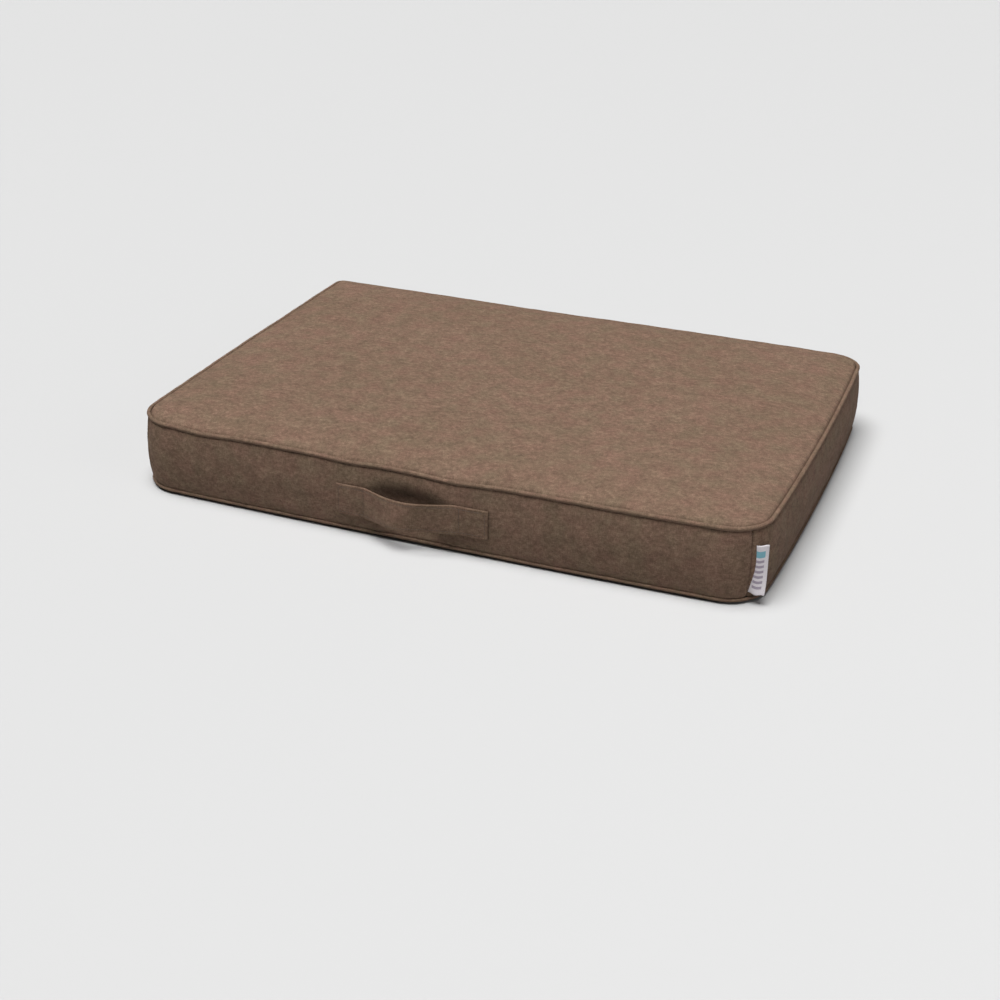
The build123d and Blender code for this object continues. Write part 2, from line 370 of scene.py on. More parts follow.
def add_bump(nodes, links, shader, height, strength, distance):
    bump = nodes.new("ShaderNodeBump")
    bump.inputs["Strength"].default_value = strength
    bump.inputs["Distance"].default_value = distance
    links.new(height, bump.inputs["Height"])
    links.new(bump.outputs["Normal"], shader.inputs["Normal"])


def weave_wave(nodes, links, coordinate, pitch):
    """Sine of one cloth coordinate with one wave to two yarns."""
    turns = math_node(nodes, links, "MULTIPLY", coordinate, math.pi / pitch)
    return math_node(nodes, links, "SINE", turns)


def melange_cloth(name, dark, middle, light, yarn=0.0009, depth=0.00022):
    """Plain-woven yarns spun from mixed brown fibres, matte, with a little fuzz."""
    made, nodes, links, shader = new_material(name)
    uv = nodes.new("ShaderNodeUVMap")
    uv.uv_map = "cloth"
    flat = uv.outputs["UV"]
    axes = nodes.new("ShaderNodeSeparateXYZ")
    links.new(flat, axes.inputs["Vector"])
    across = weave_wave(nodes, links, axes.outputs["X"], yarn)
    along = weave_wave(nodes, links, axes.outputs["Y"], yarn)
    cross = math_node(nodes, links, "MULTIPLY", across, along)
    over = math_node(nodes, links, "GREATER_THAN", cross, 0.0)
    weft = mapped_noise(nodes, links, flat, (230, 1000, 1), detail=4.0, rough=0.7)
    warp = mapped_noise(nodes, links, flat, (1000, 230, 1), detail=4.0, rough=0.7)
    picked = nodes.new("ShaderNodeMix")
    links.new(over, picked.inputs[0])
    links.new(weft, picked.inputs[2])
    links.new(warp, picked.inputs[3])
    patches = mapped_noise(nodes, links, flat, (170, 210, 1), detail=5.0, rough=0.72)
    broad = mapped_noise(nodes, links, flat, (55, 65, 1), detail=3.0, rough=0.6)
    fibres = math_node(nodes, links, "MULTIPLY", picked.outputs[0], 0.45)
    for layer, share in ((patches, 0.38), (broad, 0.17)):
        part = math_node(nodes, links, "MULTIPLY", layer, share)
        fibres = math_node(nodes, links, "ADD", fibres, part)
    colour = colour_ramp(nodes, links, fibres, ((0.39, dark), (0.50, middle), (0.61, light)))
    hue = mapped_noise(nodes, links, flat, (38, 38, 1), detail=4.0)
    hues = colour_ramp(nodes, links, hue, ((0.35, (0.955, 1.02, 0.99)), (0.65, (1.045, 0.98, 1.01))))
    colour = mix_colour(nodes, links, "MULTIPLY", 1.0, colour, hues)
    cloud = mapped_noise(nodes, links, flat, (8, 8, 1), detail=2.0)
    tint = colour_ramp(nodes, links, cloud, ((0.3, (0.95, 0.965, 0.95)), (0.7, (1.05, 1.035, 1.05))))
    colour = mix_colour(nodes, links, "MULTIPLY", 1.0, colour, tint)
    links.new(colour, shader.inputs["Base Color"])
    shader.inputs["Roughness"].default_value = 0.95
    shader.inputs["Specular IOR Level"].default_value = 0.12
    shader.inputs["Sheen Weight"].default_value = 0.05
    shader.inputs["Sheen Roughness"].default_value = 0.6
    shader.inputs["Sheen Tint"].default_value = (*light, 1)
    height = math_node(nodes, links, "ABSOLUTE", cross)
    fuzz = math_node(nodes, links, "MULTIPLY", fibres, 1.4)
    height = math_node(nodes, links, "ADD", height, fuzz)
    add_bump(nodes, links, shader, height, 0.5, depth)
    return made


def plain_material(name, colour, vary, roughness, grain, bump_depth, metallic=0.0, strength=0.4):
    """One base colour broken up by noise in object space, with a matching bump."""
    made, nodes, links, shader = new_material(name)
    place = nodes.new("ShaderNodeTexCoord").outputs["Object"]
    value = mapped_noise(nodes, links, place, (grain, grain, grain), detail=4.0, rough=0.6)
    low = tuple(c * (1 - vary) for c in colour)
    high = tuple(min(1.0, c * (1 + vary)) for c in colour)
    links.new(colour_ramp(nodes, links, value, ((0.3, low), (0.7, high))), shader.inputs["Base Color"])
    shader.inputs["Metallic"].default_value = metallic
    spread = nodes.new("ShaderNodeMapRange")
    spread.inputs["To Min"].default_value = max(0.05, roughness - 0.08)
    spread.inputs["To Max"].default_value = min(1.0, roughness + 0.08)
    links.new(value, spread.inputs["Value"])
    links.new(spread.outputs["Result"], shader.inputs["Roughness"])
    add_bump(nodes, links, shader, value, strength, bump_depth)
    return made


COVER = melange_cloth("cover_cloth", (0.078, 0.050, 0.035), (0.131, 0.084, 0.058), (0.196, 0.130, 0.090))
THREAD = plain_material("thread", (0.085, 0.055, 0.038), 0.25, 0.7, 900, 0.0001)
CORD = plain_material("welt_cord", (0.72, 0.69, 0.62), 0.1, 0.85, 700, 0.0002)
BASE = plain_material("base_cloth", (0.045, 0.040, 0.037), 0.3, 0.9, 1200, 0.0002)
DOT = plain_material("base_dot", (0.030, 0.028, 0.027), 0.15, 0.5, 500, 0.00005)
TAPE = plain_material("zip_tape", (0.085, 0.060, 0.044), 0.25, 0.8, 1500, 0.0002)
COIL = plain_material("zip_coil", (0.070, 0.050, 0.038), 0.12, 0.35, 400, 0.00003)
METAL = plain_material("zip_metal", (0.36, 0.32, 0.28), 0.12, 0.34, 300, 0.00004, metallic=1.0)
LINER = plain_material("liner_cloth", (0.74, 0.74, 0.72), 0.05, 0.7, 800, 0.0001)
MEMORY = plain_material("memory_foam", (0.80, 0.72, 0.52), 0.10, 0.85, 450, 0.0006, strength=0.6)
SUPPORT = plain_material("support_foam", (0.58, 0.63, 0.68), 0.12, 0.9, 260, 0.0009, strength=0.7)


# ============================================================ outline of the bed
CORNERS = (
    ("front_left", -1, -1, 225),
    ("front_right", 1, -1, 315),
    ("back_right", 1, 1, 45),
    ("back_left", -1, 1, 135),
)


def corner_arc(corner, start_offset, end_offset, inset):
    """Plan points and outward normals on a corner's arc, between two angles from its middle."""
    name, sx, sy, middle = corner
    r = CORNER_R[name]
    centre = np.array([sx * (HALF_W - r), sy * (HALF_D - r)])
    span = np.radians(np.linspace(middle + start_offset, middle + end_offset, 13))
    normal = np.stack([np.cos(span), np.sin(span)], 1)
    return centre + normal * (r - inset), normal


def side_run(first, second, inset=0.0):
    """Outline from the middle of one corner to the middle of the next: points and normals."""
    a, na = corner_arc(CORNERS[first], 0, 45, inset)
    b, nb = corner_arc(CORNERS[second], -45, 0, inset)
    return np.concatenate([a, b]), np.concatenate([na, nb])


def resample(points, normals, at):
    """Points and normals at given lengths along a plan outline."""
    run = lengths_along(points)
    place = points_at(points, run, at)
    facing = points_at(normals, run, at)
    return place, facing / np.linalg.norm(facing, axis=1)[:, None]


def outline_length(points):
    return float(np.linalg.norm(np.diff(points, axis=0), axis=1).sum())


def whole_outline(inset, step):
    """The closed outline, points an even step apart."""
    points = np.concatenate([side_run(k, (k + 1) % 4, inset)[0] for k in range(4)])
    ring = np.concatenate([points, points[:1]])
    keep = np.concatenate([[True], np.linalg.norm(np.diff(ring, axis=0), axis=1) > 1e-9])
    ring = ring[keep]
    flat = np.column_stack([ring, np.zeros(len(ring))])
    return spaced(flat, step)[:-1, :2]


def seam_sway(x, y, seed):
    """How far a piped seam rises or dips from its nominal height."""
    slow = wobble(x, y, 0, 0.13, seed)
    quick = wobble(x, y, 0, 0.021, seed + 4)
    sway = 0.0009 * slow + 0.00035 * quick
    if seed == TOP_SEED and y < -0.6 * HALF_D:
        sway -= sum(deep * math.exp(-((x - at) / wide) ** 2) for at, deep, wide in SEAM_DIPS)
    return sway


def smooth_step(value):
    held = np.clip(value, 0, 1)
    return held * held * (3 - 2 * held)


def side_bow(along, half):
    """Shape of a side's bow: none at its corners, full between them."""
    return np.clip(1 - (along / (half - 0.012)) ** 2, 0, 1) ** 0.7


def bowed(points):
    """Points moved outwards where the bed's soft sides bow between their corners."""
    moved = np.array(points, float)
    x, y = moved[..., 0].copy(), moved[..., 1].copy()
    right = smooth_step((x - HALF_W + BOW_REACH) / (BOW_REACH - 0.008))
    left = smooth_step((-x - HALF_W + BOW_REACH) / (BOW_REACH - 0.008))
    front = smooth_step((-y - HALF_D + BOW_REACH) / (BOW_REACH - 0.008))
    moved[..., 0] += side_bow(y, HALF_D) * (BOW_RIGHT * right - BOW_LEFT * left)
    moved[..., 1] -= side_bow(x, HALF_W) * BOW_FRONT * front
    return moved


def surface_finder(made):
    """Search tree over an object's mesh."""
    mesh = made.data
    return BVHTree.FromPolygons([v.co for v in mesh.vertices], [p.vertices for p in mesh.polygons])


def surface_y(tree, x, z, side):
    """Y of a surface's outer face at a place on the front (side -1) or back (side 1)."""
    hit = tree.ray_cast(Vector((x, side * (HALF_D + 0.1), z)), Vector((0, -side, 0)))[0]
    return hit.y if hit else side * HALF_D


def corner_fit(x, y):
    """Moves a point of the plain rectangle so that its corner squares become rounded."""
    fitted_x, fitted_y = x.copy(), y.copy()
    for name, sx, sy, _ in CORNERS:
        r = CORNER_R[name] - PANEL_INSET
        cx, cy = HALF_W - PANEL_INSET - r, HALF_D - PANEL_INSET - r
        a, b = (x * sx - cx) / r, (y * sy - cy) / r
        inside = (a > 0) & (b > 0)
        fitted_x[inside] = sx * (cx + r * a * np.sqrt(np.maximum(0, 1 - b * b / 2)))[inside]
        fitted_y[inside] = sy * (cy + r * b * np.sqrt(np.maximum(0, 1 - a * a / 2)))[inside]
    return fitted_x, fitted_y


def depth_inside(x, y):
    """Distance from a panel's edge, on its rounded outline."""
    depth = np.minimum(HALF_W - PANEL_INSET - abs(x), HALF_D - PANEL_INSET - abs(y))
    for name, sx, sy, _ in CORNERS:
        r = CORNER_R[name] - PANEL_INSET
        cx, cy = HALF_W - PANEL_INSET - r, HALF_D - PANEL_INSET - r
        a, b = x * sx - cx, y * sy - cy
        inside = (a > 0) & (b > 0)
        depth[inside] = (r - np.hypot(a, b))[inside]
    return np.maximum(depth, 0)


# ============================================================ cloth simulation
def settle(made, held, pressure, grow, cap):
    """Cloth simulation of a sewn panel: the held points stay, the rest swells and buckles."""
    scene = bpy.context.scene
    before = np.array([v.co for v in made.data.vertices])
    group = made.vertex_groups.new(name="seam")
    group.add([int(i) for i in held], 1.0, "REPLACE")
    cloth = made.modifiers.new("cloth", "CLOTH")
    settings = cloth.settings
    settings.quality = 6
    settings.mass = 0.3
    settings.tension_stiffness = 20
    settings.compression_stiffness = 20
    settings.bending_stiffness = 0.6
    settings.vertex_group_mass = "seam"
    settings.shrink_min = -grow
    settings.use_pressure = True
    settings.uniform_pressure_force = pressure
    settings.effector_weights.gravity = 0
    cloth.collision_settings.use_collision = False
    cloth.point_cache.frame_start = 1
    cloth.point_cache.frame_end = 20
    for step in range(1, 21):
        scene.frame_set(step)
    apply_modifiers(made)
    scene.frame_set(1)
    after = np.array([v.co for v in made.data.vertices])
    move = after - before
    length = np.linalg.norm(move, axis=1)
    print(made.name, "cloth moved", round(float(length.max()) * 1000, 1), "mm at most")
    limit = cap * np.tanh(length / cap) / np.maximum(length, 1e-9)
    made.data.vertices.foreach_set("co", (before + move * limit[:, None]).ravel())
    made.data.update()
    made.vertex_groups.clear()
    return made


# ============================================================ cover panels
def panel_grid():
    """Grid of plan points over a panel, its flat coordinates, and how deep each point lies."""
    xs = lines_between(PANEL_INSET - HALF_W, HALF_W - PANEL_INSET, CELL)
    ys = lines_between(PANEL_INSET - HALF_D, HALF_D - PANEL_INSET, CELL)
    flat_x, flat_y = np.meshgrid(xs, ys)
    x, y = corner_fit(flat_x, flat_y)
    return x, y, np.stack([flat_x, flat_y], -1), depth_inside(x, y)


def puckers(x, y, depth, seed):
    """Small gathers that run in from a seam and fade over a couple of centimetres."""
    points = np.stack([x, y, np.zeros_like(x)], -1)
    strength = np.maximum(0, wobbles(points, 0.11, seed + 9) + 0.25)
    gather = wobbles(points, 0.013, seed)
    return 0.0011 * strength * gather * np.exp(-depth / 0.014) * (1 - np.exp(-depth / 0.003))


def top_panel():
    x, y, uv, depth = panel_grid()
    rise = EDGE_RISE * (1 - np.exp(-depth / EDGE_RUN)) + CROWN * (1 - np.exp(-depth / CROWN_RUN))
    points = np.stack([x, y, np.zeros_like(x)], -1)
    soft = 0.0007 * wobbles(points, 0.12, 2) + 0.0003 * wobbles(points, 0.045, 5)
    inner = 1 - np.exp(-depth / 0.02)
    sway = np.array([seam_sway(*p[:2], TOP_SEED) for p in points.reshape(-1, 3)]).reshape(x.shape)
    lift = rise + soft * inner + puckers(x, y, depth, 3) + sway * np.exp(-depth / 0.03)
    points[..., 2] = TOP_SEAM_Z + PANEL_START + lift
    made = piece("top_panel_cloth", bowed(points), grid_faces(*x.shape), uv, COVER)
    held = np.flatnonzero(depth.ravel() < BORDER[-1] + 1e-5)
    settle(made, held, pressure=3.0, grow=0.004, cap=0.004)
    thicken(made, CLOTH)
    return finish_piece(made, "bed", "cover_cloth", "top_panel")


def bottom_panel():
    x, y, uv, depth = panel_grid()
    drop = (BOTTOM_SEAM_Z - BASE_LIFT) * (1 - np.exp(-depth / EDGE_RUN))
    z = BOTTOM_SEAM_Z - drop + abs(puckers(x, y, depth, 21)) * 0.5
    made = piece("base_cloth", bowed(np.stack([x, y, z], -1)), grid_faces(*x.shape, flip=True), uv, BASE)
    thicken(made, CLOTH)
    return finish_piece(made, "bed", "base_cloth", "bottom_panel")


def finish_piece(made, body, slot, *nodes):
    """Hides the CAD nodes it stands for and attaches the piece to the body it moves with; the finish slot
    is not used.
    """
    if nodes:
        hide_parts(*nodes)
    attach(made, body)
    return made


def base_dots():
    """Low rubber dots printed in staggered rows on the underside."""
    pitch, radius, sides = 0.014, 0.0021, 8
    angle = np.linspace(0, 2 * math.pi, sides, endpoint=False)
    rim = np.stack([np.cos(angle), np.sin(angle)], 1) * radius
    lumps = []
    margin = 0.024
    rows = int((HALF_D - margin) / (pitch * 0.866))
    for j in range(-rows, rows + 1):
        y = j * pitch * 0.866
        count = int((HALF_W - margin) / pitch)
        for i in range(-count, count + (j % 2 == 0)):
            x = (i + 0.5 * (j % 2)) * pitch
            outer = np.column_stack([rim + (x, y), np.full(sides, BASE_LIFT + 0.0001)])
            inner = np.column_stack([rim * 0.62 + (x, y), np.full(sides, 0.00002)])
            points = np.concatenate([outer, inner])
            faces = grid_faces(2, sides, wrap=True)
            faces = [f[::-1] for f in faces] + [tuple(sides + k for k in range(sides))[::-1]]
            faces.append(tuple(range(sides)))
            lumps.append((points, faces, points[:, :2]))
    return finish_piece(merged("base_dots", lumps, DOT), "bed", "base_cloth")


# ============================================================ boxing bands
def dent(x, z):
    """Hollows pressed into the front band: behind the strap's upper edge and under its lower one."""
    depth = 0
    for at, height, half_long, half_high, deep in HOLLOWS:
        along = np.clip(1 - ((x - at) / half_long) ** 2, 0, 1)
        up = np.clip(1 - ((z - height) / half_high) ** 2, 0, 1)
        depth = np.maximum(depth, deep * along ** 1.3 * up ** 1.5)
    return depth


def crease_depth(x, z):
    """Short pinched folds in the front band beside the right corner."""
    depth = 0
    for at, height, half_long, half_wide, deep in CREASES:
        depth = depth + deep * np.exp(-((x - at) / half_long) ** 2 - ((z - height) / half_wide) ** 2)
    return depth


def band_points(place, facing, run, heights, tucked, bulge, seed, front=False):
    """Outer surface of a boxing strip: proud in the middle, tucked in beside its seams."""
    low, high = BOTTOM_SEAM_Z, TOP_SEAM_Z
    end = np.minimum(run, run[-1] - run)
    across = np.clip((heights - low) / (high - low), 0, 1)
    near = np.abs(heights[:, None] - np.array(tucked)[None, :]).min(axis=1)
    belly = bulge * np.sin(np.pi * across) ** 0.8
    tuck = BAND_TUCK * np.exp(-near / TUCK_RUN)
    ends = BAND_TUCK * np.exp(-end / TUCK_RUN)
    out = belly[:, None] - tuck[:, None] - ends[None, :]
    flat = np.stack(np.broadcast_arrays(place[None, :, 0], place[None, :, 1], heights[:, None]), -1)
    calm = (1 - np.exp(-near / 0.010))[:, None]
    out = out + calm * (0.0008 * wobbles(flat, 0.07, seed) + 0.0003 * wobbles(flat, 0.022, seed + 3))
    gather = np.exp(-near / 0.012)[:, None] * (1 - np.exp(-near / 0.002))[:, None]
    out = out + 0.0010 * gather * wobbles(flat * (1, 1, 0.35), 0.012, seed + 5)
    if front:
        out = out - dent(flat[..., 0], flat[..., 2]) - crease_depth(flat[..., 0], flat[..., 2])
    points = flat.copy()
    points[..., :2] += out[..., None] * facing[None]
    sway_high = np.array([seam_sway(*p, TOP_SEED) for p in place])
    sway_low = np.array([seam_sway(*p, BOTTOM_SEED) for p in place])
    points[..., 2] += across[:, None] * sway_high + (1 - across)[:, None] * sway_low * LOW_SWAY
    return bowed(points)


def band(name, first, seed, node):
    """Front, left or right boxing strip."""
    outline, normals = side_run(first, (first + 1) % 4)
    run = lines_between(0, outline_length(outline), BAND_CELL)
    place, facing = resample(outline, normals, run)
    low, high = BOTTOM_SEAM_Z + BAND_EDGE, TOP_SEAM_Z - BAND_EDGE
    heights = lines_between(low, high, BAND_CELL)
    front = node == "front_band"
    points = band_points(place, facing, run, heights, (low, high), BAND_BULGE, seed, front)
    uv = np.stack(np.meshgrid(run, heights), -1)
    made = piece(name, points, grid_faces(*points.shape[:2]), uv, COVER)
    held = hold_border(len(heights), len(run))
    if front:
        behind = (points[..., 0] > STRAP_LEFT - 0.004) & (points[..., 0] < STRAP_RIGHT + 0.004)
        held = np.union1d(held, np.flatnonzero(behind.ravel()))
    settle(made, held, pressure=2.0, grow=0.003, cap=0.0025)
    thicken(made, CLOTH)
    return finish_piece(made, "bed", "cover_cloth", node)


def hold_border(rows, columns, keep=len(BORDER) - 1):
    """Indices of a grid's points in its border lines."""
    index = np.arange(rows * columns).reshape(rows, columns)
    inner = index[keep:rows - keep, keep:columns - keep]
    return np.setdiff1d(index, inner)


def back_strip(name, upper, seed, node):
    """Back boxing strip above or below the zip; beyond the zip's ends the strips meet."""
    outline, normals = side_run(2, 3)
    run = lines_between(0, outline_length(outline), BAND_CELL)
    place, facing = resample(outline, normals, run)
    side = 1 if upper else -1
    seam = TOP_SEAM_Z - BAND_EDGE if upper else BOTTOM_SEAM_Z + BAND_EDGE
    steps = lines_between(0, abs(seam - ZIP_Z), BAND_CELL)
    heights = np.sort(ZIP_Z + side * steps)
    points = band_points(place, facing, run, heights, (seam,), BACK_BULGE, seed)
    edge = np.abs(heights - ZIP_Z)
    points[..., 1] -= (LIP_TUCK * np.exp(-edge / 0.0009))[:, None]
    open_share = smooth_step((ZIP_END + 0.012 - abs(place[:, 0])) / 0.010)
    gap = side * (LIP_GAP * open_share + 0.00005)
    points[..., 2] += gap[None, :] * (1 - edge / edge.max())[:, None]
    uv = np.stack(np.meshgrid(run, np.sort(steps)), -1)
    made = piece(name, points, grid_faces(*points.shape[:2]), uv, COVER)
    settle(made, hold_border(*points.shape[:2]), pressure=1.5, grow=0.002, cap=0.0012)
    thicken(made, CLOTH)
    return finish_piece(made, "bed", "cover_cloth", node)


# ============================================================ piping
def welt(kind, z, seed):
    """Cloth piping along one seam, and the cord inside it."""
    plan = whole_outline(WELT_INSET, 0.0032)
    sway_share, size = (1, 1) if kind == "top" else (LOW_SWAY, LOW_WELT)
    sway = np.array([seam_sway(*p, seed) for p in plan]) * sway_share
    path = bowed(np.column_stack([plan, z + sway]))
    uneven = np.array([wobble(*p, 0.009, seed) for p in path])
    radius = WELT_R * size * (1 + 0.05 * uneven)
    cover = tube_piece(f"{kind}_welt_cloth", path, radius, 12, True, COVER)
    cord = tube_piece(f"{kind}_welt_filler", path, CORD_R, 8, True, CORD)
    finish_piece(cover, "bed", "cover_cloth", f"{kind}_welt_cover")
    finish_piece(cord, "bed", "welt_cord", f"{kind}_welt_cord")


# ============================================================ strap handle
def strap_out(x, across):
    """How far the strap stands off the band; across runs from 0 at its top edge to 1."""
    u = np.clip((x - FREE_LEFT) / (FREE_RIGHT - FREE_LEFT), 0, 1)
    v = np.clip((x - FREE_LEFT) / (STRAP_TOP_END - FREE_LEFT), 0, 1)
    top = STRAP_TOP_OUT * np.sin(np.pi * v ** 0.9) ** 1.1
    low = STRAP_LOW_OUT * np.sin(np.pi * u ** 0.8) ** 0.6
    peak = STRAP_LOW_PEAK * np.exp(-((u - 0.38) / 0.20) ** 2) * np.sin(np.pi * u) ** 0.3
    return top * (1 - across) + (low + peak) * across


def strap_point(tree, x, across, lift=0.0):
    """A point on the strap, lift proud of its middle surface; its ends lie on the band."""
    sag = 0.0012 * np.sin(np.pi * np.clip((x - FREE_LEFT) / (FREE_RIGHT - FREE_LEFT), 0, 1)) ** 2
    roll = STRAP_ROLL * smooth_step((x - FREE_LEFT + 0.006) / 0.036)
    z = STRAP_HIGH_Z - (STRAP_HIGH_Z - STRAP_LOW_Z) * across - sag * (1 - across) + roll * across
    face = -HALF_D - 0.9 * BAND_BULGE - BOW_FRONT * float(side_bow(x, HALF_W)) - strap_out(x, across)
    y = min(face, surface_y(tree, x, z, -1)) - STRAP_T / 2 - 0.0001 - lift
    return np.array([x, y, z])


def strap(tree):
    """One folded strip of cover cloth with rounded edges, sewn flat at both ends."""
    xs = lines_between(STRAP_LEFT, STRAP_RIGHT, 0.0026, (0, 0.0004, 0.0010, 0.0018))
    width = STRAP_HIGH_Z - STRAP_LOW_Z
    half = (1 - np.cos(np.pi * np.linspace(0, 1, 21))) / 2
    edge = 1 - np.abs(2 * half - 1) ** 20
    rings, uvs = [], []
    for x in xs:
        end = min(x - STRAP_LEFT, STRAP_RIGHT - x)
        fat = STRAP_T / 2 * min(1.0, 0.35 + 0.65 * math.sqrt(max(0.0, end) / 0.0018))
        soft = 1 + 0.12 * wobble(x, 0, 0, 0.010, 31)
        seam = 1 - 0.35 * np.exp(-((np.minimum(half, 1 - half) * width - STITCH_INSET) / 0.0009) ** 2)
        thick = fat * soft * np.maximum(edge, 0.02) ** 0.5 * seam
        front = [strap_point(tree, x, a, t) for a, t in zip(half, thick)]
        back = [strap_point(tree, x, a, -t) for a, t in zip(half[::-1][1:-1], thick[::-1][1:-1])]
        rings.append(front + back)
        uvs.append([(x, a * width) for a in half] + [(x, a * width + width) for a in half[1:-1]])
    sides = len(rings[0])
    faces = grid_faces(len(xs), sides, wrap=True)
    faces += end_caps(len(xs), sides)
    made = piece("strap", np.array(rings), faces, np.array(uvs), COVER)
    made.modifiers.new("smooth", "SUBSURF").levels = 1
    apply_modifiers(made)
    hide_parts("handle_end_left", "handle_grip", "handle_end_right")
    bend_with_strap(made)


def bend_with_strap(made):
    """Bakes the object's placement into its mesh."""
    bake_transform(made)


def stitch_line(path, normal):
    """Row of short threads along a path, each one dipping into the cloth at its ends."""
    path = spaced(path, 0.0008)
    run = lengths_along(path)
    lumps = []
    for k in range(int(run[-1] / STITCH)):
        at = np.linspace(k * STITCH + STITCH_GAP / 2, (k + 1) * STITCH - STITCH_GAP / 2, 5)
        points = points_at(path, run, at)
        arch = np.sin(np.linspace(0, math.pi, 5))[:, None]
        points = points + np.asarray(normal) * (arch * 1.6 - 0.6) * THREAD_R
        lumps.append(tube(points, THREAD_R, 6))
    return lumps


def strap_stitching(tree):
    """Box stitching at both ends and a row along each long edge."""
    proud = STRAP_T / 2
    outward = (0, -1, 0)
    share = STITCH_INSET / (STRAP_HIGH_Z - STRAP_LOW_Z)
    lumps = []
    for across in (share, 1 - share):
        xs = np.linspace(STRAP_LEFT + STITCH_INSET, STRAP_RIGHT - STITCH_INSET, 90)
        lumps += stitch_line([strap_point(tree, x, across, proud * 0.72) for x in xs], outward)
    for x in (STRAP_LEFT + STITCH_INSET, FREE_LEFT - 0.002, FREE_RIGHT + 0.002, STRAP_RIGHT - STITCH_INSET):
        rows = np.linspace(share, 1 - share, 12)
        lumps += stitch_line([strap_point(tree, x, a, proud * 0.97) for a in rows], outward)
    made = merged("strap_stitching", lumps, THREAD)
    bend_with_strap(made)


# ============================================================ woven label
def label_material():
    """Pale satin tape with plain woven bars, drawn from the label's own flat coordinates."""
    made, nodes, links, shader = new_material("label_tape")
    uv = nodes.new("ShaderNodeUVMap")
    uv.uv_map = "cloth"
    axes = nodes.new("ShaderNodeSeparateXYZ")
    links.new(uv.outputs["UV"], axes.inputs["Vector"])

    def box_mask(x_low, x_high, y_low, y_high):
        tests = []
        for axis, low, high in (("X", x_low, x_high), ("Y", y_low, y_high)):
            tests.append(math_node(nodes, links, "GREATER_THAN", axes.outputs[axis], low))
            tests.append(math_node(nodes, links, "LESS_THAN", axes.outputs[axis], high))
        mask = tests[0]
        for test in tests[1:]:
            mask = math_node(nodes, links, "MULTIPLY", mask, test)
        return mask

    fine = mapped_noise(nodes, links, uv.outputs["UV"], (2600, 500, 1), detail=2.0)
    colour = colour_ramp(nodes, links, fine, ((0.3, (0.47, 0.44, 0.46)), (0.7, (0.61, 0.57, 0.59))))
    teal = box_mask(0.0045, 0.0150, 0.0390, 0.0460)
    colour = mix_colour(nodes, links, "MIX", teal, colour, (0.13, 0.31, 0.37, 1))
    for low in (0.0060, 0.0115, 0.0170, 0.0225, 0.0280, 0.0335):
        bar = box_mask(0.0050, 0.0145, low, low + 0.0028)
        colour = mix_colour(nodes, links, "MIX", bar, colour, (0.25, 0.21, 0.26, 1))
    links.new(colour, shader.inputs["Base Color"])
    shader.inputs["Roughness"].default_value = 0.55
    shader.inputs["Sheen Weight"].default_value = 0.2
    ribs = math_node(nodes, links, "SINE", math_node(nodes, links, "MULTIPLY", axes.outputs["Y"], 9000.0))
    height = math_node(nodes, links, "ADD", ribs, fine)
    add_bump(nodes, links, shader, height, 0.35, 0.0001)
    return made


def label():
    """Tape folded double beside the front right corner seam, a little curled."""
    joint = next(j for j in frame["joints"] if j["name"] == "label_flap")
    low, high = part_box("woven_label")
    reach = 0.98 * (high.x - joint["pos_m"][0])
    angle = math.atan2(high.y - joint["pos_m"][1], high.x - joint["pos_m"][0]) - 0.03
    out = np.linspace(0, 1, 15)
    layers = []
    for share in np.linspace(0, 1, 25):
        turn = angle - 0.50 * (1 - share) ** 1.7 + 0.05 * math.sin(5 * share)
        row = []
        for side, steps in ((-1, out), (1, out[::-1])):
            for u in steps:
                curl = turn + 0.22 * u * u
                gap = side * (0.00035 + 0.0004 * math.sin(math.pi * u) ** 2)
                row.append((u * reach, curl, gap))
        layers.append((share, row))
    points, uvs = [], []
    for share, row in layers:
        z = low.z + (high.z - low.z) * share
        line = []
        for u, curl, gap in row:
            x = joint["pos_m"][0] + u * math.cos(curl) - gap * math.sin(curl)
            y = joint["pos_m"][1] + u * math.sin(curl) + gap * math.cos(curl)
            line.append((x, y, z + 0.0006 * math.sin(9 * u / reach)))
            uvs.append((u, (high.z - low.z) * share))
        points.append(line)
    made = piece("label_loop", points, grid_faces(25, len(points[0])), uvs, label_material())
    thicken(made, 0.00025, levels=1)
    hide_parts("woven_label")
    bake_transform(made)


# ============================================================ zip
def zip_tape(name, node):
    """Woven tape with a thicker cord edge beside the teeth."""
    low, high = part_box(node)
    upper = low.z > ZIP_Z - 0.002
    inner, outer = (low.z, high.z) if upper else (high.z, low.z)
    xs = np.arange(low.x, high.x + 0.001, 0.004)
    share = np.array([0, 0.06, 0.12, 0.18, 0.24, 0.3, 0.5, 0.7, 0.85, 0.93, 1.0])
    z = inner + (outer - inner) * share
    rib = 0.0002 * np.exp(-((share - 0.12) / 0.05) ** 2)
    x, zz = np.meshgrid(xs, z)
    y = np.full_like(x, high.y - 0.0001) + rib[:, None] * 0.4 + 0.00008 * np.sin(x * 900)
    uv = np.stack([x, zz], -1)
    made = piece(name, np.stack([x, y, zz], -1), grid_faces(*x.shape, flip=upper), uv, TAPE)
    thicken(made, 0.0005, levels=0)
    return finish_piece(made, "bed", "zip_tape", node)


